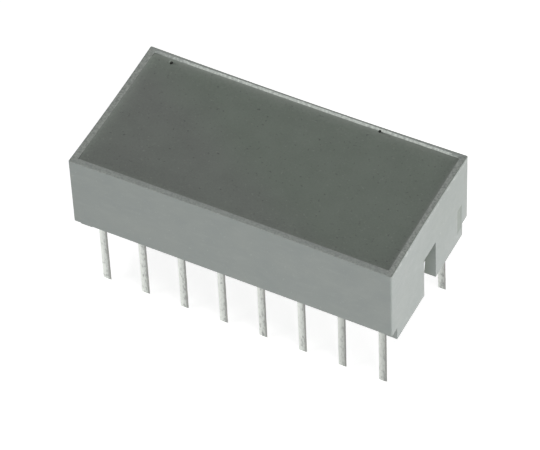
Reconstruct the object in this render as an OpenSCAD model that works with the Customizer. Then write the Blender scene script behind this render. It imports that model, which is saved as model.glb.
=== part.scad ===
// LED light bar in a dual in-line package: a tapered moulded housing potted with diffusing epoxy,
// with one lead frame strip, a die, its attach and a bond wire for each lighted cell.
// The long sides run along X, light leaves along +Z, and z = 0 is the plane of the stand-off feet.

/* [Housing] */
// Length of the housing over its end walls
body_l = 20.07; // [20.02:0.01:20.32]
// Width of the housing over its long walls
body_w = 9.91; // [9.8:0.01:10.16]
// Height of the rim above the feet
body_h = 6.00; // [5.5:0.05:7.5]
// Wall thickness at the rim
rim_wall = 0.38; // [0.25:0.01:0.50]
// Wall thickness at the feet
foot_wall = 0.74; // [0.55:0.01:0.80]
// Height of the long walls' lower edge above the feet
skirt_rise = 1.00; // [0.5:0.05:1.5]
// Radius of the housing's upright corners
corner_r = 0.15; // [0.05:0.01:0.30]

/* [End notches] */
// Width of the notch in each end wall
notch_w = 1.52; // [1.0:0.02:3.0]
// Height of the notch above the feet
notch_h = 3.00; // [2.2:0.05:3.6]

/* [Gate mark] */
// Width of the shallow gate mark on the right end wall
gate_w = 0.80; // [0.5:0.05:1.2]
// Height of the gate mark
gate_h = 2.10; // [1.0:0.05:2.5]
// Height of the gate mark's lower edge above the feet
gate_rise = 0.70; // [0.5:0.05:1.5]
// Depth of the gate mark
gate_depth = 0.05; // [0.03:0.01:0.15]

/* [Epoxy] */
// Depth of the emitting face below the rim
face_drop = 0.10; // [0.05:0.01:0.40]
// Height of the epoxy's underside above the feet
fill_rise = 1.10; // [1.0:0.05:1.6]
// Radius of the two pits by the emitting face's rear edge
pit_r = 0.10; // [0.07:0.01:0.14]
// Place of the left pit along the housing
left_pit_x = -8.36; // [-9.0:0.01:-7.0]
// Distance from the rear wall's inner face to the left pit's centre
left_pit_gap = 0.20; // [0.16:0.01:0.40]
// Place of the right pit along the housing
right_pit_x = 4.77; // [3.0:0.01:7.0]
// Distance that the right pit's centre lies inside the rear wall
right_pit_bite = 0.03; // [0.01:0.01:0.05]

/* [Leads] */
// Distance from the housing's outer faces to the centres of the nearest leads
lead_inset = 1.145; // [1.12:0.005:1.16]
// Width of a lead
lead_w = 0.40; // [0.35:0.01:0.60]
// Thickness of the lead frame strip
lead_t = 0.25; // [0.20:0.01:0.30]
// Length of the leads below the feet
lead_drop = 4.90; // [3.0:0.05:6.0]
// Height of the lead frame's lower face above the feet
frame_rise = 2.70; // [2.2:0.05:3.2]
// Inner radius of the lead's bend
bend_r = 0.25; // [0.15:0.01:0.35]
// Height of the slant that the trimming cut leaves on the front of a lead's tip
tip_slant = 0.32; // [0.10:0.02:0.50]

/* [Die pads] */
// Distance between the two rows of dice
die_row_gap = 4.20; // [3.6:0.05:4.6]
// Width of a die pad from front to back
pad_d = 1.00; // [0.8:0.05:1.2]
// Reach of the die pad past its die's centre
pad_reach = 0.40; // [0.30:0.01:0.45]
// Width of the anode's finger from front to back
finger_d = 0.60; // [0.5:0.05:0.8]
// Gap between the die pad and the finger
finger_gap = 0.32; // [0.25:0.01:0.35]
// Radius of the pad's and finger's corners
pad_r = 0.12; // [0.05:0.01:0.18]

/* [Dice and wires] */
// Side of a die
die_w = 0.30; // [0.25:0.01:0.36]
// Height of a die
die_h = 0.25; // [0.20:0.01:0.30]
// Width of the sawn step round the top of a die
die_step = 0.02; // [0.01:0.01:0.03]
// Height of the sawn step above the die's base
die_step_rise = 0.17; // [0.12:0.01:0.18]
// Thickness of the die attach
attach_t = 0.03; // [0.02:0.01:0.05]
// How far the die attach spreads past the die's corners
attach_spread = 0.04; // [0.02:0.01:0.06]
// Diameter of a bond wire
wire_d = 0.038; // [0.036:0.002:0.050]
// Height of the wire's loop above the die
loop_h = 0.22; // [0.18:0.01:0.30]
// Distance from the finger's end to the wire's stitch
stitch_inset = 0.18; // [0.15:0.01:0.25]

/* [Hidden] */

$fn = 32;
// Number of leads, in two rows
lead_count = 16;
row_leads = lead_count / 2;
// Each cell has two leads
cells = row_leads / 2;
// Bars stand end to end and side by side on one grid of leads, so the housing's size gives the
// distance between neighbouring leads and the distance between the two rows
pitch = (body_l - 2 * lead_inset) / (row_leads - 1);
row_gap = body_w - 2 * lead_inset;
// Overshoot that lets a cut pass clean through a face
past = 1;
// Height of the right pit's centre above the emitting face, as a share of its radius
right_pit_lift = 0.4;

// Thickness of the wall at a height above the feet
function wall_at(z) = foot_wall + (rim_wall - foot_wall) * z / body_h;
// The long walls' inner faces at the skirt, which the feet are flush with
foot_half_w = body_w / 2 - wall_at(skirt_rise);
face_z = body_h - face_drop;
tip_z = -lead_drop;
bend_outer_r = bend_r + lead_t;
row_y = row_gap / 2;
die_y = die_row_gap / 2;
frame_top = frame_rise + lead_t;
attach_z = frame_top + attach_t;
die_top_z = attach_z + die_h;
wire_r = wire_d / 2;
// The ball bond on the die's top, which is as wide as the stitch at the wire's other end
ball_r = 1.8 * wire_r;
ball_h = 1.2 * wire_r;
stitch_h = wire_r;
// How far the wire's curve runs on below the finger's face, where it is cut off
stitch_angle = 3;

// X of a lead's centre, by its place in the row from the left
function lead_x(place) = (place - (row_leads - 1) / 2) * pitch;
// X of a cell's centre, by its place in the row from the left
function cell_x(place) = (lead_x(2 * place) + lead_x(2 * place + 1)) / 2;
// A cell's cathode is its left lead (-1) in even cells and its right lead (1) in odd ones
function cathode_side(place) = place % 2 == 0 ? -1 : 1;

// Outline of the housing, square with rounded corners
module body_outline() {
    square([body_l - 2 * corner_r, body_w], center = true);
    square([body_l, body_w - 2 * corner_r], center = true);
    for (x = [-1, 1])
        for (y = [-1, 1])
            translate([x * (body_l / 2 - corner_r), y * (body_w / 2 - corner_r)])
                circle(r = corner_r);
}

// A bar along Y whose two sides slope as the walls do, between two heights. span is the housing's
// outer size across the bar.
module sloped_bar(span, length, z0, z1) {
    rotate([90, 0, 0])
        linear_extrude(length, center = true)
            polygon([
                [-(span / 2 - wall_at(z0)), z0],
                [span / 2 - wall_at(z0), z0],
                [span / 2 - wall_at(z1), z1],
                [-(span / 2 - wall_at(z1)), z1]]);
}

// The tapered inside of the housing between two heights
module cavity(z0, z1) {
    intersection() {
        sloped_bar(body_l, body_w, z0, z1);
        rotate([0, 0, 90])
            sloped_bar(body_w, body_l, z0, z1);
    }
}

// The block that the feet are left from: it runs up into the end walls
module foot_block() {
    translate([-body_l / 2, -foot_half_w, 0])
        cube([body_l, 2 * foot_half_w, skirt_rise + past]);
}

module end_notches() {
    translate([-body_l / 2 - past, -notch_w / 2, -past])
        cube([body_l + 2 * past, notch_w, notch_h + past]);
}

module gate_mark() {
    translate([body_l / 2 - gate_depth, foot_half_w - gate_w, gate_rise])
        cube([gate_depth + past, gate_w, gate_h]);
}

module housing() {
    color([0.60, 0.62, 0.60])
    difference() {
        union() {
            translate([0, 0, skirt_rise])
                linear_extrude(body_h - skirt_rise)
                    body_outline();
            foot_block();
        }
        cavity(skirt_rise - past / 2, body_h + past);
        sloped_bar(body_l, body_w + 2 * past, -past, skirt_rise);
        end_notches();
        gate_mark();
        right_pit();
    }
}

// A flat strip with rounded corners, from one corner to the opposite one
module rounded_strip(x0, y0, x1, y1, r) {
    translate([x0 + r, y0])
        square([x1 - x0 - 2 * r, y1 - y0]);
    translate([x0, y0 + r])
        square([x1 - x0, y1 - y0 - 2 * r]);
    for (x = [x0 + r, x1 - r])
        for (y = [y0 + r, y1 - r])
            translate([x, y])
                circle(r = r);
}

// Side profile of a leg, its bend and its arm, with the row at the origin and the inside of the
// body at +X. The arm reaches to the middle of the die pad or the finger. The tip is cut shorter on
// its outer side (-1) or its inner side (1).
module leg_profile(short_side) {
    bend_x = lead_t / 2 + bend_r;
    bend_z = frame_top - bend_outer_r;
    arm_end = row_y - die_y;
    difference() {
        union() {
            polygon([
                [short_side * lead_t / 2, tip_z + tip_slant],
                [-short_side * lead_t / 2, tip_z],
                [-short_side * lead_t / 2, bend_z],
                [short_side * lead_t / 2, bend_z]]);
            translate([bend_x, bend_z])
                circle(r = bend_outer_r);
            translate([bend_x, frame_rise])
                square([arm_end - bend_x, lead_t]);
        }
        // The space inside the bend
        translate([bend_x, bend_z])
            circle(r = bend_r);
        translate([lead_t / 2, bend_z - past])
            square([arm_end, past]);
        translate([bend_x, bend_z - past])
            square([arm_end, past + bend_r]);
    }
}

// One leg in the front row, at X = 0
module leg(short_side) {
    translate([-lead_w / 2, -row_y, 0])
        rotate([90, 0, 90])
            linear_extrude(lead_w)
                leg_profile(short_side);
}

// The flat end of a lead in the front row, from one X to another and centred on the dice
module flat_end(x0, x1, depth) {
    translate([0, 0, frame_rise])
        linear_extrude(lead_t)
            rounded_strip(x0, -die_y - depth / 2, x1, -die_y + depth / 2, pad_r);
}

// The left lead of the front cell at the origin: its die pad reaches under the die
module cathode(short_side) {
    translate([-pitch / 2, 0, 0])
        leg(short_side);
    flat_end(-pitch / 2 - lead_w / 2, pad_reach, pad_d);
}

// The right lead of that cell: its finger takes the bond wire
module anode(short_side) {
    translate([pitch / 2, 0, 0])
        leg(short_side);
    flat_end(pad_reach + finger_gap, pitch / 2 + lead_w / 2, finger_d);
}

// Puts a front-row piece of a left-handed cell in its place. Cells 0 to 3 are the front row from
// the left, and 4 to 7 are the back row from the right.
module in_cell(cell) {
    front = cell < cells;
    place = front ? cell : 2 * cells - 1 - cell;
    translate([cell_x(place), 0, 0])
        mirror([cathode_side(place) > 0 ? 1 : 0, 0, 0])
            mirror([0, front ? 0 : 1, 0])
                children();
}

// Leads are numbered from the front left, to the right along the front and back along the rear
module lead(number) {
    cell = floor((number - 1) / 2);
    front = cell < cells;
    place = front ? cell : 2 * cells - 1 - cell;
    // A cell's lower-numbered lead is on its left in front and on its right behind
    first_side = front ? -1 : 1;
    side = number % 2 == 1 ? first_side : -first_side;
    // One stroke from the front trims both rows, so the slant faces forward on every lead
    short_side = front ? -1 : 1;
    color([0.78, 0.79, 0.78])
    in_cell(cell)
        if (side == cathode_side(place))
            cathode(short_side);
        else
            anode(short_side);
}

module led_die(cell) {
    color([0.85, 0.72, 0.25])
    in_cell(cell)
        translate([0, -die_y, attach_z]) {
            translate([-die_w / 2, -die_w / 2, 0])
                cube([die_w, die_w, die_step_rise]);
            translate([-die_w / 2 + die_step, -die_w / 2 + die_step, 0])
                cube([die_w - 2 * die_step, die_w - 2 * die_step, die_h]);
        }
}

module die_attach(cell) {
    color([0.70, 0.70, 0.68])
    in_cell(cell)
        translate([0, -die_y, frame_top])
            cylinder(r = die_w / sqrt(2) + attach_spread, h = attach_t);
}

// A stretch of wire that is level at the origin and curves down on the side of -X
module wire_arc(r, angle) {
    translate([0, 0, -r])
        rotate([90, 0, 0])
            rotate([0, 0, 90])
                rotate_extrude(angle = angle)
                    translate([r, 0])
                        circle(r = wire_r);
}

// The bond wire of a left-handed front cell: the ball, the rise from it to the top of the loop, and
// the fall to its stitch on the anode's finger
module wire_path() {
    rise_r = loop_h - ball_h / 2;
    stitch_x = pad_reach + finger_gap + stitch_inset;
    fall_run = stitch_x - rise_r;
    fall_drop = loop_h + die_h + attach_t;
    fall_r = (fall_run * fall_run + fall_drop * fall_drop) / (2 * fall_drop);
    fall_angle = 2 * atan(fall_drop / fall_run);
    translate([0, 0, die_top_z])
        cylinder(r = ball_r, h = ball_h);
    translate([rise_r, 0, die_top_z + loop_h])
        wire_arc(rise_r, 90);
    difference() {
        translate([rise_r, 0, die_top_z + loop_h])
            mirror([1, 0, 0])
                wire_arc(fall_r, fall_angle + stitch_angle);
        translate([0, -past / 2, frame_top - past])
            cube([2 * stitch_x, past, past]);
    }
    translate([stitch_x, 0, frame_top])
        cylinder(r = ball_r, h = stitch_h);
}

module bond_wire(cell) {
    color([0.85, 0.68, 0.28])
    in_cell(cell)
        translate([0, -die_y, 0])
            wire_path();
}

// An open bubble in the emitting face, near the rear wall
module left_pit() {
    translate([left_pit_x, body_w / 2 - wall_at(face_z) - left_pit_gap, face_z])
        sphere(r = pit_r);
}

// A pit where the epoxy meets the rear wall, which it nicks
module right_pit() {
    pit_y = body_w / 2 - wall_at(face_z) + right_pit_bite;
    translate([right_pit_x, pit_y, face_z + right_pit_lift * pit_r])
        sphere(r = pit_r);
}

// Everything that the epoxy holds
module embedded() {
    for (number = [1 : lead_count])
        lead(number);
    for (cell = [0 : 2 * cells - 1]) {
        die_attach(cell);
        led_die(cell);
        bond_wire(cell);
    }
}

module epoxy() {
    color([0.37, 0.40, 0.37])
    difference() {
        cavity(fill_rise, face_z);
        embedded();
        left_pit();
        right_pit();
    }
}

housing();
epoxy();
lead(1);  // lead_01
lead(2);  // lead_02
lead(3);  // lead_03
lead(4);  // lead_04
lead(5);  // lead_05
lead(6);  // lead_06
lead(7);  // lead_07
lead(8);  // lead_08
lead(9);  // lead_09
lead(10);  // lead_10
lead(11);  // lead_11
lead(12);  // lead_12
lead(13);  // lead_13
lead(14);  // lead_14
lead(15);  // lead_15
lead(16);  // lead_16
led_die(0);  // led_die_a
led_die(1);  // led_die_b
led_die(2);  // led_die_c
led_die(3);  // led_die_d
led_die(4);  // led_die_e
led_die(5);  // led_die_f
led_die(6);  // led_die_g
led_die(7);  // led_die_h
die_attach(0);  // die_attach_a
die_attach(1);  // die_attach_b
die_attach(2);  // die_attach_c
die_attach(3);  // die_attach_d
die_attach(4);  // die_attach_e
die_attach(5);  // die_attach_f
die_attach(6);  // die_attach_g
die_attach(7);  // die_attach_h
bond_wire(0);  // bond_wire_a
bond_wire(1);  // bond_wire_b
bond_wire(2);  // bond_wire_c
bond_wire(3);  // bond_wire_d
bond_wire(4);  // bond_wire_e
bond_wire(5);  // bond_wire_f
bond_wire(6);  // bond_wire_g
bond_wire(7);  // bond_wire_h
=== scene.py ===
# LED light bar display: the finish of every piece, a pale floor, soft light and the camera, made
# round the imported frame. Meshes are worked out in millimetres and turned into metres at the end.
import math

import bmesh
import bpy
from mathutils import Matrix, Vector


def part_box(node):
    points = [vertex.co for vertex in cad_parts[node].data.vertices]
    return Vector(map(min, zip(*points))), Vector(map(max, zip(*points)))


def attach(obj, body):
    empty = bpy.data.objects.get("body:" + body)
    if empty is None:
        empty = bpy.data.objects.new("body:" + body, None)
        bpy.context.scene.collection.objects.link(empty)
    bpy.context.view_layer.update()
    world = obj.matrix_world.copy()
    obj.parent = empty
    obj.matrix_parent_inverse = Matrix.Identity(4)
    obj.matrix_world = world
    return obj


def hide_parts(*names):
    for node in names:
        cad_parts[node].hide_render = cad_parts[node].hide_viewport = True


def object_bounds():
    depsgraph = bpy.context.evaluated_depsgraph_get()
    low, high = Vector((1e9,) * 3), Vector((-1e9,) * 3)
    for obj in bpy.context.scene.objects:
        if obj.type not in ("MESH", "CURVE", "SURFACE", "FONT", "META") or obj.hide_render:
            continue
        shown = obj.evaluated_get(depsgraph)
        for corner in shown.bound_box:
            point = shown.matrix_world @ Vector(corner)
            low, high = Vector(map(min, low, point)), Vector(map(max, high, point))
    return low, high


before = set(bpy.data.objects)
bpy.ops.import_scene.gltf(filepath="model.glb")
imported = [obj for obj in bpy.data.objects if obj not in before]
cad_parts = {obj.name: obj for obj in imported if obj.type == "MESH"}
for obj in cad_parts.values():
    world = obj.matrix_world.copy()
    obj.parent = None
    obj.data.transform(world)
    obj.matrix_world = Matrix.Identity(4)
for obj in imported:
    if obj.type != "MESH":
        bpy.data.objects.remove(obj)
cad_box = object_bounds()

MM = 0.001
BODY = "root"

# Sizes that the frame gives
HOUSING_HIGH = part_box("housing")[1] / MM
EPOXY_LOW, EPOXY_HIGH = (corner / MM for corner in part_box("epoxy"))
HALF_L = HOUSING_HIGH.x
HALF_W = HOUSING_HIGH.y
RIM_Z = HOUSING_HIGH.z
FACE_Z = EPOXY_HIGH.z
FILL_Z = EPOXY_LOW.z

# How far off a plane or a row of points a point may lie and still count as on it, and how close
# together points are merged
NEAR = 0.001
ROW_NEAR = 0.01
MERGE_CAD = 0.0002
MERGE_CUT = 0.0005

# Sizes of the housing that its box doesn't give
FOOT_WALL = 0.74
RIM_WALL = 0.38
SKIRT_Z = 1.0
NOTCH_W = 1.52
NOTCH_Z = 3.0
GATE_W = 0.80
GATE_H = 2.10
GATE_Z = 0.70
GATE_DEPTH = 0.03
GATE_SOFT = 0.22
CORNER_R = 0.09
INNER_CORNER_R = 0.03
FOOT_HALF_W = HALF_W - (FOOT_WALL + (RIM_WALL - FOOT_WALL) * SKIRT_Z / RIM_Z)

# How far the tools that cut the housing reach past it
CUT_SPAN = 1.0

# The left pit: its place in the frame, and how far its place in the photograph lies from there.
# Both pits of the frame's epoxy have PIT_R, and their points lie within PIT_REACH and PIT_DEPTH.
PIT_PLACE = (-8.36, 4.369)
PIT_SHIFT = (-0.085, -0.06)
PIT_R = 0.10
PIT_REACH = 1.2 * PIT_R
PIT_DEPTH = 2 * PIT_R

# The right pit, where the epoxy meets the rear wall: its place in the frame, its place in the
# photograph, and how much wider, longer and deeper it is there
FRAME_NICK_X = 4.77
NICK_PLACE = (4.70, EPOXY_HIGH.y - 0.015, FACE_Z)
NICK_R = 0.09
NICK_SCALE = (1.02, 1.65, 1.35)

# The housing's edges, and how many degrees an edge has to turn to be rounded
OUTER_EDGE_R = 0.035
CUT_EDGE_R = 0.035
SOLE_EDGE_R = 0.08
HOUSING_SHARP = 40

# The slopes inside the rim: each wall has its own width, and they share a profile, which gives
# points as shares of the width and of the height, from the rim down
LEFT_SLOPE_W = 0.005
RIGHT_SLOPE_W = 0.005
FRONT_SLOPE_W = 0.06
REAR_SLOPE_W = 0.112
SLOPE_H = RIM_Z - FACE_Z
SLOPE_PROFILE = ((0.0, 0.0), (0.08, 0.02), (0.18, 0.1), (0.9, 0.88), (1.0, 1.0))

# How much painted highlight the plastic has, from 0 to 1: the right end wall, from the rim to a
# drop below it, and the rear slope, which has less at its left end and its full highlight after a
# reach
END_HIGHLIGHT = 0.5
HIGHLIGHT_LOW = 0.42
SLOPE_HIGHLIGHT = 1.0
LEFT_HIGHLIGHT = 0.3
HIGHLIGHT_REACH = 4.0

# How dark the plastic is, from 0 to 1: the rim's outer edges as painted shade, of the right one
# only a share of its height, the gate mark, and the right end wall, which grows darker upwards and
# to the rear
OUTER_EDGE_SHADE = 0.9
RIGHT_EDGE_SHARE = 0.2
GATE_DULL = 0.8
END_DARKENING = 0.25
END_DARKENING_Y = -1.0
END_DARKENING_Z = 1.0
END_DARKENING_REACH_Y = 2.0
END_DARKENING_REACH_Z = 2.5

# How speckled the rim is on each wall, from 0 to 1
LEFT_SPECKLES = 0.7
RIGHT_SPECKLES = 0.65
LONG_SPECKLES = 0.38

# What the shrinking epoxy does to the walls, most at the rim and nothing at the feet: how far it
# draws in their outsides, and how far their insides
FRONT_BOW = 0.095
REAR_BOW = 0.105
END_BOW = 0.055
OUTER_BOWS = (FRONT_BOW, REAR_BOW, END_BOW)
FRONT_CORE_BOW = 0.047
REAR_CORE_BOW = 0.03
END_CORE_BOW = 0.005
CORE_BOWS = (FRONT_CORE_BOW, REAR_CORE_BOW, END_CORE_BOW)

# How far off centre the mould's core sat at the rim
CORE_SHIFT_X = 0.03
CORE_SHIFT_Y = 0.077

# The epoxy's surface: it sinks between the walls, each with its own reach, and at the end walls it
# climbs nearly to the rim
SURFACE_SINK = 0.10
REAR_REACH = 0.25
FRONT_REACH = 1.3
RIGHT_REACH = 4.0
LEFT_REACH = 0.25
LEFT_CLIMB = 0.085
RIGHT_CLIMB = 0.09
RIGHT_CLIMB_REACH = 0.16

# The steps between the cuts across the epoxy's surface, from the walls to the middle
FIRST_STEP = 0.03
STEP_GROWTH = 1.25
LAST_STEP = 0.8

# How far the epoxy is paler by the walls, and how much by each wall: partly the pale walls showing
# through it, partly painted light on the meniscus and in the rim's shadow
PALE_REACH = 0.32
SHORT_PALE_REACH = 0.13
PALE_REAR = 1.0
PALE_LEFT = 0.12
PALE_RIGHT = 1.0
PALE_FRONT = 0.9

# How much darker the epoxy is in its front corners, how far that reaches to the rear, and what
# share of it is left halfway between the corners
SHADE = 0.6
SHADE_REACH = 1.6
SHADE_MIDDLE = 0.4

# Where the epoxy turns from grey to green, as shares of its length from the left: the start by
# the rear wall, how far the turn spreads, and how much farther along it is by the front wall
GREEN_START = -0.15
GREEN_SPREAD = 0.3
GREY_FRONT = 0.75

# The leads: their number, their edges, how many degrees an edge has to turn to be rounded, and
# how far a lead leans for each millimetre below the epoxy
LEAD_COUNT = 16
LEAD_EDGE_R = 0.03
LEAD_SHARP = 50
LEAD_LEAN = 0.005

# How far each lead in view has been pushed along its row
LEAD_SHIFTS = {
    1: -0.02,
    2: -0.02,
    3: -0.025,
    4: -0.015,
    5: -0.015,
    6: -0.015,
    7: -0.04,
    8: -0.025,
    9: 0.085,
}

# How much darker the tin of each lead in view is, from 0 to 1, and that of the others. Across the
# lead it varies about a middle share, more on its right side, where that extra is painted shade.
LEAD_DARKNESS = {
    1: 0.08,
    2: 0.06,
    3: 0.11,
    4: 0.14,
    5: 0.27,
    6: 0.23,
    7: 0.56,
    8: 0.58,
    9: 0.30,
}
OTHER_DARKNESS = 0.2
DARKNESS_MIDDLE = 0.8
LEAD_SHADE_ACROSS = 0.3

# How high the stains at a lead's tip reach, how strong they are at the tip, and how much of that
# the lead's right side has more and its left side less, which is painted shade
STAIN_H = 2.2
STAIN_TIP = 0.35
STAIN_AND_SHADE_ACROSS = 0.25

# The floor and the room, and where the lamps and the camera point
FLOOR_COLOUR = 0.7
FLOOR_LIFT = 0.75
FLOOR_HALF = 1.0
ROOM_LEVEL = 0.18
TARGET = Vector((0.0, 0.0, 3.0)) * MM

# Each lamp's direction, distance and size in metres, and the light that it gives a surface which
# faces it, where 1 shows a colour as it is written
LAMPS = {
    "key": ((0.865, -0.5, 0.09), 0.45, 0.33, 1.42),
    "overhead": ((-0.31, -0.25, 0.91), 0.30, 0.08, 0.22),
    "edge": ((0.75, 0.6, 0.25), 0.30, 0.10, 0.15),
}

# The camera, as fitted to the housing's corners and the leads in the photograph
CAMERA_AZIMUTH = math.radians(28.781)
CAMERA_ELEVATION = math.radians(48.688)
CAMERA_ROLL = math.radians(-2.606)
CAMERA_DISTANCE = 213.56 * MM
CAMERA_SIDE = 0.036 * MM
CAMERA_RISE = -1.737 * MM
SENSOR_WIDTH = 36.0
FRAME_WIDTH_PIXELS = 540
PIXELS_PER_MM = 17.706


def clamp(value, low=0.0, high=1.0):
    """A value held between two limits."""
    return max(low, min(high, value))


def wall_at(z):
    """Thickness of the housing's wall at a height above the feet."""
    return FOOT_WALL + (RIM_WALL - FOOT_WALL) * z / RIM_Z


# Materials


def srgb(red, green, blue):
    """The linear colour of three display values from 0 to 255."""
    linear = []
    for value in (red, green, blue):
        share = value / 255
        low = share <= 0.04045
        linear.append(share / 12.92 if low else ((share + 0.055) / 1.055) ** 2.4)
    return (*linear, 1.0)


class Finish:
    """A material of one Principled shader, and short calls for the nodes that vary it."""

    def __init__(self, name, roughness, metallic=0.0, specular=0.5):
        self.material = bpy.data.materials.new(name)
        self.material.use_nodes = True
        self.nodes = self.material.node_tree.nodes
        self.links = self.material.node_tree.links
        self.shader = self.nodes["Principled BSDF"]
        self.shader.inputs["Roughness"].default_value = roughness
        self.shader.inputs["Metallic"].default_value = metallic
        self.shader.inputs["Specular IOR Level"].default_value = specular
        self.place = self.nodes.new("ShaderNodeTexCoord").outputs["Object"]

    def noise(self, size, detail=2.0, stretch=(1.0, 1.0, 1.0)):
        """Noise whose features are about size millimetres across, times stretch along each axis."""
        mapping = self.nodes.new("ShaderNodeMapping")
        mapping.inputs["Scale"].default_value = [1 / value for value in stretch]
        self.links.new(self.place, mapping.inputs["Vector"])
        texture = self.nodes.new("ShaderNodeTexNoise")
        texture.inputs["Scale"].default_value = 1 / (size * MM)
        texture.inputs["Detail"].default_value = detail
        self.links.new(mapping.outputs["Vector"], texture.inputs["Vector"])
        return texture.outputs["Fac"]

    def patches(self, size, low, high, strength=1.0, detail=2.0, stretch=(1.0, 1.0, 1.0)):
        """Noise turned into patches: 0 where it is under low, strength where it is over high."""
        return self.spread(self.noise(size, detail, stretch), low, high, 0.0, strength)

    def spread(self, value, low_in, high_in, low=0.0, high=1.0):
        """Spreads a value from one range over another, and clamps it."""
        node = self.nodes.new("ShaderNodeMapRange")
        node.inputs["From Min"].default_value = low_in
        node.inputs["From Max"].default_value = high_in
        node.inputs["To Min"].default_value = low
        node.inputs["To Max"].default_value = high
        self.links.new(value, node.inputs["Value"])
        return node.outputs["Result"]

    def blend(self, factor, first, second):
        """Mixes two colours, each a tuple or the output of a node."""
        node = self.nodes.new("ShaderNodeMix")
        node.data_type = "RGBA"
        self.links.new(factor, node.inputs["Factor"])
        for colour, socket in ((first, node.inputs["A"]), (second, node.inputs["B"])):
            if isinstance(colour, tuple):
                socket.default_value = colour
            else:
                self.links.new(colour, socket)
        return node.outputs["Result"]

    def bump(self, height, depth, below=None):
        """A relief of depth millimetres, on top of another relief if below is given."""
        node = self.nodes.new("ShaderNodeBump")
        node.inputs["Distance"].default_value = depth * MM
        self.links.new(height, node.inputs["Height"])
        if below is not None:
            self.links.new(below, node.inputs["Normal"])
        return node.outputs["Normal"]

    def stored(self, name):
        """A value that the mesh keeps at its points."""
        node = self.nodes.new("ShaderNodeAttribute")
        node.attribute_name = name
        return node.outputs["Fac"]

    def plus(self, value, other, weight):
        """A value and a share of another one added to it."""
        node = self.nodes.new("ShaderNodeMath")
        node.operation = "MULTIPLY_ADD"
        node.inputs[1].default_value = weight
        self.links.new(other, node.inputs[0])
        self.links.new(value, node.inputs[2])
        return node.outputs[0]

    def drive(self, socket, value):
        """Lets a value set a socket of the shader."""
        self.links.new(value, self.shader.inputs[socket])


def housing_finish():
    """Grey moulded plastic: a fine even grain, faint clouds, level smudges and a few paler grains.
    It is speckled on the rim and darker in the gate mark, with painted shade in the notches and
    along the rim's outer edges and a painted highlight along two edges."""
    finish = Finish("grey_moulded_plastic", roughness=0.32)
    clouds = finish.patches(size=1.6, low=0.3, high=0.7, detail=4.0)
    colour = finish.blend(clouds, srgb(143, 150, 147), srgb(149, 155, 151))
    wide = (3.0, 3.0, 1.0)
    smudges = finish.patches(size=0.32, low=0.5, high=0.75, strength=0.4, detail=4.0, stretch=wide)
    colour = finish.blend(smudges, colour, srgb(158, 162, 159))
    grains = finish.patches(size=0.09, low=0.66, high=0.80, strength=0.45, detail=1.0)
    colour = finish.blend(grains, colour, srgb(172, 175, 172))
    speckles = finish.patches(size=0.11, low=0.35, high=0.65, detail=4.0)
    speckled = finish.blend(speckles, srgb(119, 123, 118), srgb(174, 178, 172))
    colour = finish.blend(finish.stored("speckled"), colour, speckled)
    # Darker in the gate mark and towards the right end wall's top and rear, and painted shade in
    # the notches and along the rim's outer edges
    colour = finish.blend(finish.stored("dull_and_shade"), colour, srgb(121, 129, 120))
    # Painted highlight: pale along the end wall under the rim's right edge and on the rear wall's
    # slope
    highlight_mask = finish.plus(finish.stored("painted_highlight"), finish.noise(0.18, detail=3.0), 2.0)
    colour = finish.blend(finish.spread(highlight_mask, 1.35, 2.35), colour, srgb(217, 223, 216))
    finish.drive("Base Color", colour)
    finish.drive("Roughness", finish.spread(finish.noise(0.4), 0.3, 0.7, 0.28, 0.36))
    grain = finish.bump(finish.noise(0.045, detail=1.0), 0.0016)
    waves = finish.bump(finish.noise(0.9, detail=1.0), 0.006, below=grain)
    finish.drive("Normal", waves)
    return finish.material


def epoxy_finish():
    """Cast epoxy with a diffusing filler: greyer at one end and greener at the other, with faint
    clouds, dark and pale specks and a soft gloss, and paler by the walls, partly where they show
    through and partly as painted light."""
    finish = Finish("diffusing_epoxy", roughness=0.34)
    clouds = finish.patches(size=1.5, low=0.33, high=0.67, detail=6.0)
    grey = finish.blend(clouds, srgb(97, 101, 97), srgb(104, 108, 104))
    green = finish.blend(clouds, srgb(96, 106, 96), srgb(103, 113, 103))
    drift = finish.plus(finish.stored("greener"), finish.noise(3.0, detail=3.0), 0.8)
    colour = finish.blend(finish.spread(drift, 0.2, 1.2), grey, green)
    colour = finish.blend(finish.stored("shaded"), colour, srgb(84, 90, 84))
    # Paler by the walls: partly the pale walls showing through, partly painted light on the
    # meniscus and in the rim's shadow
    ragged = finish.plus(finish.stored("by_wall"), finish.noise(0.16, detail=3.0), 0.8)
    colour = finish.blend(finish.spread(ragged, 0.45, 1.4), colour, srgb(128, 134, 127))
    mottle = finish.patches(size=0.11, low=0.35, high=0.65, strength=0.25)
    colour = finish.blend(mottle, colour, srgb(114, 120, 112))
    pale = finish.patches(size=0.17, low=0.64, high=0.78, strength=0.6)
    colour = finish.blend(pale, colour, srgb(126, 131, 124))
    deep = (1.0, 1.0, 3.0)
    dark = finish.patches(size=0.20, low=0.67, high=0.82, strength=0.75, detail=1.0, stretch=deep)
    colour = finish.blend(dark, colour, srgb(66, 70, 65))
    finish.drive("Base Color", colour)
    finish.drive("Roughness", finish.spread(finish.noise(0.7, detail=3.0), 0.3, 0.7, 0.30, 0.40))
    grain = finish.bump(finish.noise(0.07, detail=2.0), 0.0012)
    waves = finish.bump(finish.noise(1.3, detail=1.0), 0.008, below=grain)
    finish.drive("Normal", waves)
    return finish.material


def pit_shade_finish():
    """The inside of an open bubble, painted dark as its shade."""
    finish = Finish("bubble_painted_shade", roughness=0.7, specular=0.2)
    shade_mottle = finish.patches(size=0.03, low=0.35, high=0.65)
    finish.drive("Base Color", finish.blend(shade_mottle, srgb(46, 48, 46), srgb(74, 77, 72)))
    return finish.material


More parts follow.
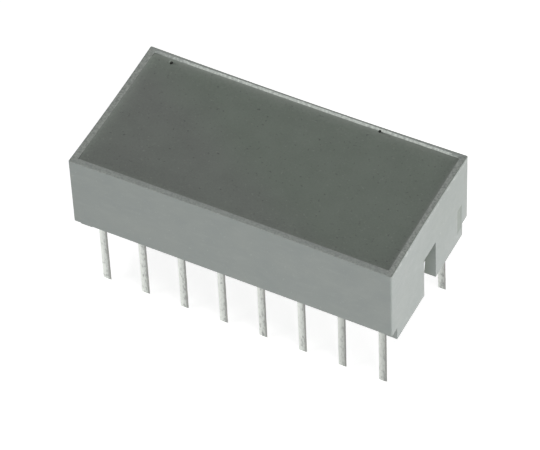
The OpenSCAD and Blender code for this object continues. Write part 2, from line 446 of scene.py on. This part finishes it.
def tin_finish():
    """Tinned faces of the lead frame: painted light and shade across each lead, bright on its left
    side and darker on its right, with streaks along the lead, a few dull blotches and dark spots
    near the tips."""
    finish = Finish("tinned_lead_frame", roughness=0.3, metallic=1.0)
    streaks = finish.noise(0.07, detail=3.0, stretch=(1.0, 1.0, 9.0))
    blotches = finish.patches(size=0.28, low=0.55, high=0.75, strength=0.5, detail=3.0)
    # Painted light and shade across each lead: bright on its left side, darker on its right
    across = finish.spread(finish.stored("across"), -1.0, 1.0)
    colour = finish.blend(across, srgb(231, 234, 229), srgb(183, 187, 182))
    dull = finish.spread(streaks, 0.35, 0.65, 0.25, 0.0)
    colour = finish.blend(dull, colour, srgb(168, 171, 166))
    colour = finish.blend(blotches, colour, srgb(167, 169, 167))
    # Each lead's tin darker by its own amount, more on its right side, where that extra is painted
    # shade
    colour = finish.blend(finish.stored("dull_and_shade"), colour, srgb(148, 151, 146))
    # Dark stains near the tips, more on each lead's right side, where that extra is painted shade
    flecks = finish.noise(0.14, detail=3.0, stretch=(1.0, 1.0, 2.5))
    stained = finish.plus(finish.stored("near_tip"), flecks, 3.0)
    stains = finish.spread(stained, 1.80, 2.4, 0.0, 0.75)
    finish.drive("Base Color", finish.blend(stains, colour, srgb(118, 119, 118)))
    finish.drive("Roughness", finish.spread(blotches, 0.0, 1.0, 0.28, 0.42))
    drawn = finish.bump(streaks, 0.0012)
    dents = finish.bump(finish.noise(0.5, detail=1.0), 0.006, below=drawn)
    finish.drive("Normal", dents)
    return finish.material


def sheared_and_shaded_finish():
    """The stamped sides of the lead frame: torn across the strip's thickness, and darker, partly
    from the stamping and partly as painted shade.
    """
    finish = Finish("sheared_lead_side_and_shade", roughness=0.5, metallic=1.0)
    tears = finish.noise(0.05, detail=3.0, stretch=(1.0, 3.0, 1.0))
    patches = finish.patches(size=0.3, low=0.35, high=0.65, detail=3.0)
    # Darker than the tinned faces, partly from the stamping and partly as painted shade
    colour = finish.blend(patches, srgb(142, 143, 140), srgb(168, 169, 165))
    # Each lead darker by its own amount, more on its right side as painted shade
    finish.drive("Base Color", finish.blend(finish.stored("dull_and_shade"), colour, srgb(112, 113, 110)))
    finish.drive("Roughness", finish.spread(patches, 0.0, 1.0, 0.45, 0.6))
    finish.drive("Normal", finish.bump(tears, 0.004))
    return finish.material


def die_finish():
    """Sawn crystal: amber with paler facets and saw lines."""
    finish = Finish("led_crystal", roughness=0.32)
    facets = finish.patches(size=0.06, low=0.35, high=0.65, detail=3.0)
    finish.drive("Base Color", finish.blend(facets, srgb(196, 146, 40), srgb(226, 190, 96)))
    lines = finish.bump(finish.noise(0.012, detail=1.0, stretch=(9.0, 1.0, 1.0)), 0.002)
    finish.drive("Normal", lines)
    return finish.material


def attach_finish():
    """Silver-filled epoxy: dull, with bright flakes."""
    finish = Finish("silver_filled_epoxy", roughness=0.5, metallic=0.6)
    flakes = finish.patches(size=0.012, low=0.5, high=0.7, detail=1.0)
    finish.drive("Base Color", finish.blend(flakes, srgb(170, 170, 166), srgb(222, 222, 218)))
    finish.drive("Normal", finish.bump(finish.noise(0.015, detail=2.0), 0.003))
    return finish.material


def gold_finish():
    """Drawn gold wire with faint die lines."""
    finish = Finish("gold_wire", roughness=0.22, metallic=1.0)
    lines = finish.noise(0.008, detail=1.0)
    finish.drive("Base Color", finish.blend(lines, srgb(228, 178, 78), srgb(250, 214, 122)))
    finish.drive("Normal", finish.bump(lines, 0.0006))
    return finish.material


# Mesh helpers


def cad_mesh(node):
    """A copy of a CAD node's mesh in millimetres, its points merged and its flat faces whole."""
    flat_within = math.radians(1)
    copy = bmesh.new()
    copy.from_mesh(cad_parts[node].data)
    copy.transform(Matrix.Scale(1 / MM, 4))
    bmesh.ops.remove_doubles(copy, verts=copy.verts, dist=MERGE_CAD)
    bmesh.ops.dissolve_limit(
        copy,
        angle_limit=flat_within,
        verts=copy.verts,
        edges=copy.edges,
        use_dissolve_boundaries=False,
    )
    return copy


def link(data, name):
    """An object in the scene, made from a mesh, a light or a camera."""
    made = bpy.data.objects.new(name, data)
    bpy.context.scene.collection.objects.link(made)
    return made


def split(built, parts, at, normal):
    """Cuts parts of a mesh in two along a plane and keeps both sides."""
    on_plane = 0.0001
    bmesh.ops.bisect_plane(built, geom=parts, dist=on_plane, plane_co=at, plane_no=normal)


def round_edges(built, width, sharp, wanted):
    """Rounds the edges of a mesh that turn by sharp degrees or more and whose middles the wanted
    test takes."""
    edges = []
    for edge in built.edges:
        if len(edge.link_faces) != 2 or edge.calc_face_angle(0.0) < math.radians(sharp):
            continue
        if wanted((edge.verts[0].co + edge.verts[1].co) / 2):
            edges.append(edge)
    bmesh.ops.bevel(
        built,
        geom=edges,
        offset=width,
        segments=3,
        profile=0.5,
        affect="EDGES",
        clamp_overlap=True,
        material=0,
    )


def store(built, name, share_at):
    """Keeps a value at each point of a mesh, worked out from its place, for a material."""
    layer = built.verts.layers.float.new(name)
    for point in built.verts:
        point[layer] = share_at(*point.co)


def place(built, name, node, materials, sharp=32):
    """Turns a mesh in millimetres into a piece in metres that stands for a CAD node."""
    built.transform(Matrix.Scale(MM, 4))
    bmesh.ops.recalc_face_normals(built, faces=built.faces)
    mesh_data = bpy.data.meshes.new(name)
    built.to_mesh(mesh_data)
    built.free()
    for material in materials:
        mesh_data.materials.append(material)
    mesh_data.shade_smooth()
    mesh_data.set_sharp_from_angle(angle=math.radians(sharp))
    piece = link(mesh_data, name)
    shading = piece.modifiers.new("flat_faces", "WEIGHTED_NORMAL")
    shading.weight = 100
    shading.keep_sharp = True
    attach(piece, BODY)
    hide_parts(node)


# Housing


def settle(x, y, z, core):
    """Where the shrinking epoxy and, for a point that the mould's core made, the core's place have
    left a point of the housing."""
    rise = z / RIM_Z
    front_bow, rear_bow, end_bow = CORE_BOWS if core else OUTER_BOWS
    share = max(0.0, (z - FILL_Z) / (RIM_Z - FILL_Z)) if core else 0.0
    long_bow = rear_bow if y > 0 else front_bow
    moved_x = x - end_bow * rise * (x / HALF_L) * (1 - (y / HALF_W) ** 2)
    moved_y = y - long_bow * rise * (y / HALF_W) * (1 - (x / HALF_L) ** 2)
    return moved_x + CORE_SHIFT_X * share, moved_y + CORE_SHIFT_Y * share, z


def outline(half_x, half_y, radius):
    """Points round a rectangle with rounded corners, the same number at each size."""
    long_steps = 24
    short_steps = 12
    corner_steps = 5
    points = []
    corners = [(1, -1, -90), (1, 1, 0), (-1, 1, 90), (-1, -1, 180)]
    for index, (side_x, side_y, start) in enumerate(corners):
        for step in range(corner_steps + 1):
            angle = math.radians(start + 90 * step / corner_steps)
            x = side_x * (half_x - radius) + radius * math.cos(angle)
            y = side_y * (half_y - radius) + radius * math.sin(angle)
            points.append((x, y))
        steps = short_steps if index % 2 == 0 else long_steps
        for step in range(1, steps):
            share = 1 - 2 * step / steps
            if index % 2 == 0:
                points.append((side_x * half_x, side_y * share * (half_y - radius)))
            else:
                points.append((side_x * share * (half_x - radius), side_y * half_y))
    return points


def widen(x, y, z, share):
    """Moves a point of the rim's inner edge out over the slopes by a share of their widths."""
    width_x = RIGHT_SLOPE_W if x > 0 else LEFT_SLOPE_W
    width_y = REAR_SLOPE_W if y > 0 else FRONT_SLOPE_W
    return x + share * width_x * x / EPOXY_HIGH.x, y + share * width_y * y / EPOXY_HIGH.y, z


def housing_loops():
    """The rings of points over the housing's outside, its rim and its inside, as (x, y, z)."""
    loops = []

    def ring(half_x, half_y, z, radius, core):
        loops.append([settle(x, y, z, core) for x, y in outline(half_x, half_y, radius)])

    for z in (0.0, SKIRT_Z, NOTCH_Z, (NOTCH_Z + RIM_Z) / 2):
        ring(HALF_L, HALF_W, z, CORNER_R, False)
    for drop in (HIGHLIGHT_LOW, (HIGHLIGHT_LOW + OUTER_EDGE_R) / 2, OUTER_EDGE_R):
        ring(HALF_L, HALF_W, RIM_Z - drop, CORNER_R, False)
    outer_steps = 4
    for step in range(1, outer_steps + 1):
        turn = math.radians(90 * step / outer_steps)
        inset = OUTER_EDGE_R * (1 - math.cos(turn))
        z = RIM_Z - OUTER_EDGE_R * (1 - math.sin(turn))
        ring(HALF_L - inset, HALF_W - inset, z, CORNER_R - inset, False)
    inset = 2 * OUTER_EDGE_R
    ring(HALF_L - inset, HALF_W - inset, RIM_Z, CORNER_R - inset, False)
    inset = wall_at(FACE_Z)
    for share, drop in SLOPE_PROFILE:
        ring(HALF_L - inset, HALF_W - inset, RIM_Z - SLOPE_H * drop, INNER_CORNER_R, True)
        loops[-1] = [widen(*point, 1 - share) for point in loops[-1]]
    for z in (NOTCH_Z, FILL_Z, SKIRT_Z):
        ring(HALF_L - wall_at(z), HALF_W - wall_at(z), z, INNER_CORNER_R, True)
    # Between the feet the inside is wider than the cut below the long walls, so nothing is left
    spare = 2 * INNER_CORNER_R
    ring(HALF_L - wall_at(SKIRT_Z), FOOT_HALF_W + spare, SKIRT_Z - spare, INNER_CORNER_R, True)
    ring(HALF_L - FOOT_WALL, FOOT_HALF_W + spare, 0.0, INNER_CORNER_R, True)
    return loops


def ring_mesh(loops):
    """A closed mesh through rings of points, the last joined to the first."""
    built = bmesh.new()
    rows = [[built.verts.new(point) for point in loop] for loop in loops]
    for row, following in zip(rows, rows[1:] + rows[:1]):
        for index in range(len(row)):
            after = (index + 1) % len(row)
            built.faces.new((row[index], row[after], following[after], following[index]))
    return built


def add_box(built, low, high):
    """Adds a closed box between two corners to a mesh."""
    made = bmesh.ops.create_cube(built, size=1.0)["verts"]
    low, high = Vector(low), Vector(high)
    for point in made:
        point.co = Vector(
            (low[axis] + (high[axis] - low[axis]) * (point.co[axis] + 0.5) for axis in range(3))
        )


def housing_cuts():
    """What is cut from the housing below its long walls and for the notches in its end walls."""
    cuts = bmesh.new()
    far_x = HALF_L + CUT_SPAN
    far_y = HALF_W + CUT_SPAN
    add_box(cuts, (-far_x, -far_y, -CUT_SPAN), (far_x, -FOOT_HALF_W, SKIRT_Z))
    add_box(cuts, (-far_x, FOOT_HALF_W, -CUT_SPAN), (far_x, far_y, SKIRT_Z))
    for side in (-1, 1):
        near_x = side * (HALF_L - FOOT_WALL - CUT_SPAN / 2)
        low_x, high_x = sorted((near_x, side * far_x))
        add_box(cuts, (low_x, -NOTCH_W / 2, -CUT_SPAN / 2), (high_x, NOTCH_W / 2, NOTCH_Z))
    return cuts


def gate_share(y, z):
    """How much of the gate mark's depth a point of the end wall has: none at its soft border."""
    inside_y = GATE_W / 2 - abs(y - (FOOT_HALF_W - GATE_W / 2))
    inside_z = GATE_H / 2 - abs(z - (GATE_Z + GATE_H / 2))
    share = clamp(min(inside_y, inside_z) / GATE_SOFT)
    return share * share * (3 - 2 * share)


def gate_cut():
    """What is cut for the gate mark: a shallow dish in the outside of the end wall."""
    spare = 0.004
    steps_y = 16
    steps_z = 30
    cut = bmesh.new()
    rows = []
    for row in range(steps_z + 1):
        z = GATE_Z + GATE_H * row / steps_z
        rows.append([])
        for step in range(steps_y + 1):
            y = FOOT_HALF_W - GATE_W + GATE_W * step / steps_y
            x, moved_y, moved_z = settle(HALF_L, y, z, False)
            x += spare - (GATE_DEPTH + spare) * gate_share(y, z)
            rows[-1].append(cut.verts.new((x, moved_y, moved_z)))
    for row, following in zip(rows, rows[1:]):
        for step in range(steps_y):
            cut.faces.new((row[step], row[step + 1], following[step + 1], following[step]))
    grown = bmesh.ops.extrude_face_region(cut, geom=list(cut.faces))
    for point in grown["geom"]:
        if isinstance(point, bmesh.types.BMVert):
            point.co.x = HALF_L + CUT_SPAN
    return cut


def nick_cut():
    """What is cut for the housing's side of the right pit: a ball."""
    cut = bmesh.new()
    bmesh.ops.create_uvsphere(cut, u_segments=20, v_segments=14, radius=NICK_R)
    bmesh.ops.translate(cut, verts=cut.verts, vec=settle(*NICK_PLACE, True))
    return cut


def cut_away(piece, cutter_mesh, name):
    """Cuts a mesh from a piece."""
    cutter_data = bpy.data.meshes.new(name)
    bmesh.ops.recalc_face_normals(cutter_mesh, faces=cutter_mesh.faces)
    cutter_mesh.to_mesh(cutter_data)
    cutter_mesh.free()
    cutter = link(cutter_data, name)
    modifier = piece.modifiers.new("cut", "BOOLEAN")
    modifier.operation = "DIFFERENCE"
    modifier.solver = "EXACT"
    modifier.object = cutter
    graph = bpy.context.evaluated_depsgraph_get()
    mesh_data = bpy.data.meshes.new_from_object(piece.evaluated_get(graph), depsgraph=graph)
    piece.modifiers.clear()
    piece.data = mesh_data
    bpy.data.objects.remove(cutter)


def merged(piece):
    """A piece's mesh with the points merged that a cut has left close together."""
    built = bmesh.new()
    built.from_mesh(piece.data)
    bmesh.ops.remove_doubles(built, verts=built.verts, dist=MERGE_CUT)
    return built


def soften(piece, width, wanted):
    """Rounds the sharp edges of the housing whose middles the wanted test takes."""
    built = merged(piece)
    round_edges(built, width, HOUSING_SHARP, wanted)
    built.to_mesh(piece.data)
    built.free()


def at_sole(middle):
    """Whether an edge lies round the sole of a foot."""
    return middle.z < NEAR


def below_rim(middle):
    """Whether an edge lies round a foot, the skirt or a notch."""
    return middle.z < NOTCH_Z + CUT_EDGE_R


def dull_and_shade_share(x, y, z):
    """How dark the plastic is at a point: in the gate mark and high at the end wall's rear, and as
    painted shade more and more inside a notch and along the rim's outer edges except the front one."""
    rear_y = settle(x, HALF_W, RIM_Z, False)[1]
    end_x = settle(HALF_L, y, RIM_Z, False)[0]
    by_right = x > 0 and y < rear_y - 2 * OUTER_EDGE_R
    edge_z = RIM_Z - (RIGHT_EDGE_SHARE if by_right else 1.0) * OUTER_EDGE_R
    # Painted shade along the rim's outer edges, except the front one
    if z > edge_z and max(y - rear_y, abs(x) - end_x) > -OUTER_EDGE_R - ROW_NEAR / 2:
        return OUTER_EDGE_SHADE
    # Painted shade, deeper the farther inside a notch
    if abs(y) < NOTCH_W / 2 + CUT_EDGE_R * 2 and z < NOTCH_Z + CUT_EDGE_R * 2:
        return clamp((HALF_L - abs(x)) / FOOT_WALL)
    # The gate mark, and the right end wall darker upwards and to the rear
    if x > HALF_L - END_BOW - GATE_DEPTH:
        rearward = clamp((y - END_DARKENING_Y) / END_DARKENING_REACH_Y)
        upward = clamp((z - END_DARKENING_Z) / END_DARKENING_REACH_Z)
        return END_DARKENING * rearward * upward + GATE_DULL * gate_share(y, z)
    return 0.0


def painted_highlight_share(x, y, z):
    """How much painted highlight a point has: the end wall just under the rim's right edge, and the
    rear wall's slope, less towards its left end."""
    middle = (HIGHLIGHT_LOW + OUTER_EDGE_R) / 2
    if x > HALF_L - END_BOW - 2 * ROW_NEAR and abs(RIM_Z - z - middle) < ROW_NEAR:
        return END_HIGHLIGHT
    slope_y = settle(x, EPOXY_HIGH.y, RIM_Z, True)[1]
    widest = REAR_SLOPE_W * (1 - SLOPE_PROFILE[1][0] / 2)
    on_slope = abs(x) < EPOXY_HIGH.x and slope_y - 2 * ROW_NEAR < y < slope_y + widest
    if on_slope and FACE_Z - ROW_NEAR < z < RIM_Z - NEAR:
        return SLOPE_HIGHLIGHT * min(1.0, LEFT_HIGHLIGHT + (EPOXY_HIGH.x + x) / HIGHLIGHT_REACH)
    return 0.0


def speckled_share(x, y, z):
    """How speckled a point of the rim is."""
    if z < RIM_Z - 2 * ROW_NEAR:
        return 0.0
    if HALF_L - abs(x) > HALF_W - abs(y):
        return LONG_SPECKLES
    return RIGHT_SPECKLES if x > 0 else LEFT_SPECKLES


def build_housing():
    """The moulded housing: bowed walls, a soft rim, feet, notches, the gate mark and its side of
    the right pit."""
    built = ring_mesh(housing_loops())
    bmesh.ops.recalc_face_normals(built, faces=built.faces)
    mesh_data = bpy.data.meshes.new("housing_blank")
    built.to_mesh(mesh_data)
    built.free()
    blank = link(mesh_data, "housing_blank")
    cut_away(blank, housing_cuts(), "housing_cuts")
    soften(blank, SOLE_EDGE_R, at_sole)
    soften(blank, CUT_EDGE_R, below_rim)
    cut_away(blank, gate_cut(), "gate_cut")
    cut_away(blank, nick_cut(), "nick_cut")
    whole = merged(blank)
    bpy.data.objects.remove(blank)
    nick_centre = Vector(settle(*NICK_PLACE, True))
    for face in whole.faces:
        farthest = max((point.co - nick_centre).length for point in face.verts)
        face.material_index = 1 if farthest < NICK_R + 2 * NEAR else 0
    store(whole, "dull_and_shade", dull_and_shade_share)
    store(whole, "painted_highlight", painted_highlight_share)
    store(whole, "speckled", speckled_share)
    place(whole, "moulded_housing", "housing", [housing_finish(), pit_shade_finish()])


# Epoxy


def wall_gaps(x, y):
    """Distances from a point of the emitting face to the left, right, front and rear walls."""
    gaps = (EPOXY_HIGH.x + x, EPOXY_HIGH.x - x, EPOXY_HIGH.y + y, EPOXY_HIGH.y - y)
    return [max(gap, 0.0) for gap in gaps]


def surface_rise(x, y):
    """How far the epoxy's surface lies above its level in the frame."""
    left, right, front, rear = wall_gaps(x, y)
    sunk = SURFACE_SINK * (1 - math.exp(-left / LEFT_REACH)) * (1 - math.exp(-right / RIGHT_REACH))
    sunk *= (1 - math.exp(-front / FRONT_REACH)) * (1 - math.exp(-rear / REAR_REACH))
    climb = LEFT_CLIMB * math.exp(-left / LEFT_REACH)
    climb += RIGHT_CLIMB * math.exp(-right / RIGHT_CLIMB_REACH)
    climb *= (1 - math.exp(-rear / LEFT_REACH)) * (1 - math.exp(-front / LEFT_REACH))
    return climb - sunk


def pale_share(x, y, z):
    """How much of the paler colour by the walls a point of the epoxy shows, at its face."""
    if z <= FACE_Z - PIT_DEPTH:
        return 0.0
    left, right, front, rear = wall_gaps(x, y)
    shares = (
        PALE_REAR * math.exp(-rear / PALE_REACH),
        PALE_LEFT * math.exp(-left / PALE_REACH),
        PALE_RIGHT * math.exp(-right / SHORT_PALE_REACH),
        PALE_FRONT * math.exp(-front / SHORT_PALE_REACH),
    )
    return max(shares)


def shade_share(x, y, z):
    """How much darker the epoxy is at a point, at any height: most in the front corners."""
    ahead = wall_gaps(x, y)[2]
    to_corner = SHADE_MIDDLE + (1 - SHADE_MIDDLE) * (x / EPOXY_HIGH.x) ** 2
    return SHADE * math.exp(-ahead / SHADE_REACH) * to_corner


def green_share(x, y, z):
    """How green the epoxy is at a point, at any height: least at the front and left."""
    along = 0.5 + x / (2 * EPOXY_HIGH.x)
    ahead = 0.5 - y / (2 * EPOXY_HIGH.y)
    return clamp((along - GREY_FRONT * ahead - GREEN_START) / GREEN_SPREAD)


def move_pits(built):
    """Moves the epoxy's own pits to their places in the photograph."""
    for point in built.verts:
        x, y, z = point.co
        if z < FACE_Z - PIT_DEPTH:
            continue
        if math.hypot(x - PIT_PLACE[0], y - PIT_PLACE[1]) < PIT_REACH:
            point.co.x = x + PIT_SHIFT[0]
            point.co.y = y + PIT_SHIFT[1]
        if math.hypot(x - FRAME_NICK_X, y - EPOXY_HIGH.y) < PIT_REACH:
            point.co.x = NICK_PLACE[0] + (x - FRAME_NICK_X) * NICK_SCALE[0]
            point.co.y = EPOXY_HIGH.y - (EPOXY_HIGH.y - y) * NICK_SCALE[1]
            point.co.z = FACE_Z - (FACE_Z - z) * NICK_SCALE[2]


def cut_lines(half):
    """Places of the cuts across the emitting face, closer together near the walls."""
    lines = []
    line = half
    step = FIRST_STEP
    while line > 0:
        lines += [line, -line]
        line -= step
        step = min(step * STEP_GROWTH, LAST_STEP)
    return [value for value in lines if abs(value) < half - NEAR]


def cut_face(built):
    """Cuts the emitting face into strips along and across, so that it can curve."""
    for axis, half in ((0, EPOXY_HIGH.x), (1, EPOXY_HIGH.y)):
        normal = Vector((1.0 - axis, float(axis), 0.0))
        for value in cut_lines(half):
            top = [face for face in built.faces if face.calc_center_median().z > FACE_Z - NEAR]
            edges = {edge for face in top for edge in face.edges}
            points = {point for face in top for point in face.verts}
            split(built, [*points, *edges, *top], normal * value, normal)


def build_epoxy():
    """The potting epoxy: its emitting face is a curved skin between the walls, with two pits."""
    built = cad_mesh("epoxy")
    move_pits(built)
    cut_face(built)
    # Just below the emitting face only the pits lean more than this, since the sides are upright
    upright_lean = 0.05
    for face in built.faces:
        centre = face.calc_center_median()
        below_face = FACE_Z - PIT_DEPTH < centre.z < FACE_Z - 2 * NEAR
        face.material_index = 1 if below_face and abs(face.normal.z) > upright_lean else 0
    store(built, "by_wall", pale_share)
    store(built, "greener", green_share)
    store(built, "shaded", shade_share)
    for point in built.verts:
        rise = surface_rise(point.co.x, point.co.y) if point.co.z > FACE_Z - PIT_DEPTH else 0.0
        point.co = settle(*point.co, True)
        point.co.z += rise
    place(built, "potting_epoxy", "epoxy", [epoxy_finish(), pit_shade_finish()])


# Leads


def below_epoxy(middle):
    """Whether an edge lies below the epoxy."""
    return middle.z < FILL_Z + NEAR


def mark_lead(built, number):
    """Stores for the materials where each point lies across the lead and near its tip, and how much
    darker the tin is there, more on the lead's right side as painted shade."""
    foot_x = [point.co.x for point in built.verts if point.co.z < 0]
    middle = (min(foot_x) + max(foot_x)) / 2
    half = (max(foot_x) - min(foot_x)) / 2
    lowest = min(point.co.z for point in built.verts)
    dull = LEAD_DARKNESS.get(number, OTHER_DARKNESS)

    def across(x, y, z):
        return clamp((x - middle) / half, -1.0, 1.0)

    def near_tip(x, y, z):
        return STAIN_TIP * clamp(1 - (z - lowest) / STAIN_H) + STAIN_AND_SHADE_ACROSS * across(x, y, z)

    # How much darker the tin is here, more on the lead's right side as painted shade
    def dull_and_shade(x, y, z):
        return dull * (DARKNESS_MIDDLE + LEAD_SHADE_ACROSS * across(x, y, z))

    store(built, "across", across)
    store(built, "near_tip", near_tip)
    store(built, "dull_and_shade", dull_and_shade)


def build_lead(number, materials):
    """A lead as it comes from the tin bath: soft edges below the epoxy, sides darker partly from
    the stamping tool and partly as painted shade, a slight lean and its push along the row."""
    node = f"lead_{number:02d}"
    built = cad_mesh(node)
    whole = [*built.verts, *built.edges, *built.faces]
    split(built, whole, Vector((0.0, 0.0, FILL_Z)), Vector((0.0, 0.0, 1.0)))
    built.normal_update()
    # The stamped sides are the faces that look mostly along the row
    along_row = 0.7
    for face in built.faces:
        face.material_index = 1 if abs(face.normal.x) > along_row else 0
    round_edges(built, LEAD_EDGE_R, LEAD_SHARP, below_epoxy)
    mark_lead(built, number)
    for point in built.verts:
        drop = FILL_Z - point.co.z
        if drop > 0:
            point.co.x += LEAD_LEAN * drop
            point.co.x += LEAD_SHIFTS.get(number, 0.0) * min(1.0, drop / FILL_Z)
    place(built, f"tinned_{node}", node, materials, sharp=40)


# Pieces that keep their mesh from the frame


def dress(prefix, material):
    """Gives the frame's own pieces whose names start with prefix a slot and a material."""
    for node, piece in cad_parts.items():
        if not node.startswith(prefix):
            continue
        if not piece.data.materials:
            piece.data.materials.append(material)
        for index in range(len(piece.material_slots)):
            piece.material_slots[index].material = material


# Setting


def seen_directly(nodes, links, level):
    """A value that is level for camera, glossy and transmission rays and 0 for the others."""
    path = nodes.new("ShaderNodeLightPath")
    found = path.outputs["Is Camera Ray"]
    for name in ("Is Glossy Ray", "Is Transmission Ray"):
        largest = nodes.new("ShaderNodeMath")
        largest.operation = "MAXIMUM"
        links.new(found, largest.inputs[0])
        links.new(path.outputs[name], largest.inputs[1])
        found = largest.outputs[0]
    scaled = nodes.new("ShaderNodeMath")
    scaled.operation = "MULTIPLY"
    scaled.inputs[1].default_value = level
    links.new(found, scaled.inputs[0])
    return scaled.outputs[0]


def build_floor():
    """A pale floor at the leads' tips. Seen directly or in a reflection it is lifted towards
    white, and it keeps the object's shadow."""
    z = cad_box[0].z
    data = bpy.data.meshes.new("floor")
    sides = ((-1, -1), (1, -1), (1, 1), (-1, 1))
    corners = [(side_x * FLOOR_HALF, side_y * FLOOR_HALF, z) for side_x, side_y in sides]
    data.from_pydata(corners, [], [(0, 1, 2, 3)])
    floor = link(data, "floor")
    material = bpy.data.materials.new("pale_floor")
    material.use_nodes = True
    nodes = material.node_tree.nodes
    links = material.node_tree.links
    nodes.clear()
    diffuse = nodes.new("ShaderNodeBsdfDiffuse")
    diffuse.inputs["Color"].default_value = (FLOOR_COLOUR, FLOOR_COLOUR, FLOOR_COLOUR, 1.0)
    glow = nodes.new("ShaderNodeEmission")
    links.new(seen_directly(nodes, links, FLOOR_LIFT), glow.inputs["Strength"])
    both = nodes.new("ShaderNodeAddShader")
    output = nodes.new("ShaderNodeOutputMaterial")
    links.new(diffuse.outputs[0], both.inputs[0])
    links.new(glow.outputs[0], both.inputs[1])
    links.new(both.outputs[0], output.inputs["Surface"])
    data.materials.append(material)


def build_world():
    """A white room: dim as a light, and white where it is seen or mirrored."""
    world = bpy.data.worlds.new("white_room")
    world.use_nodes = True
    nodes = world.node_tree.nodes
    links = world.node_tree.links
    background = nodes["Background"]
    background.inputs["Color"].default_value = (1.0, 1.0, 1.0, 1.0)
    seen = seen_directly(nodes, links, 1.0 - ROOM_LEVEL)
    total = nodes.new("ShaderNodeMath")
    total.operation = "ADD"
    total.inputs[1].default_value = ROOM_LEVEL
    links.new(seen, total.inputs[0])
    links.new(total.outputs[0], background.inputs["Strength"])
    bpy.context.scene.world = world


def build_lamp(name, direction, distance, size, level):
    """A square soft lamp."""
    data = bpy.data.lights.new(name, "AREA")
    data.size = size
    data.energy = level * (math.pi * distance) ** 2
    lamp = link(data, name)
    aim = Vector(direction).normalized()
    lamp.location = TARGET + aim * distance
    lamp.rotation_euler = aim.to_track_quat("Z", "Y").to_euler()


def build_camera():
    """The camera, back from its target, rolled a little and moved a little to the side."""
    data = bpy.data.cameras.new("camera")
    data.sensor_width = SENSOR_WIDTH
    focal_pixels = PIXELS_PER_MM * CAMERA_DISTANCE / MM
    data.lens = focal_pixels * SENSOR_WIDTH / FRAME_WIDTH_PIXELS
    camera = link(data, "camera")
    reach = math.cos(CAMERA_ELEVATION)
    back_x = math.sin(CAMERA_AZIMUTH) * reach
    back_y = -math.cos(CAMERA_AZIMUTH) * reach
    back = Vector((back_x, back_y, math.sin(CAMERA_ELEVATION)))
    level_right = Vector((math.cos(CAMERA_AZIMUTH), math.sin(CAMERA_AZIMUTH), 0.0))
    level_up = back.cross(level_right)
    right = math.cos(CAMERA_ROLL) * level_right + math.sin(CAMERA_ROLL) * level_up
    up = -math.sin(CAMERA_ROLL) * level_right + math.cos(CAMERA_ROLL) * level_up
    place_at = TARGET + CAMERA_SIDE * right + CAMERA_RISE * up + CAMERA_DISTANCE * back
    axes = Matrix((right, up, back)).transposed().to_4x4()
    camera.matrix_world = Matrix.Translation(place_at) @ axes
    bpy.context.scene.camera = camera


build_camera()
build_housing()
build_epoxy()
lead_materials = [tin_finish(), sheared_and_shaded_finish()]
for lead_number in range(1, LEAD_COUNT + 1):
    build_lead(lead_number, lead_materials)
dress("led_die_", die_finish())
dress("die_attach_", attach_finish())
dress("bond_wire_", gold_finish())
build_floor()
build_world()
for lamp_name, lamp_setting in LAMPS.items():
    build_lamp(lamp_name, *lamp_setting)
bpy.context.scene.view_settings.view_transform = "Standard"
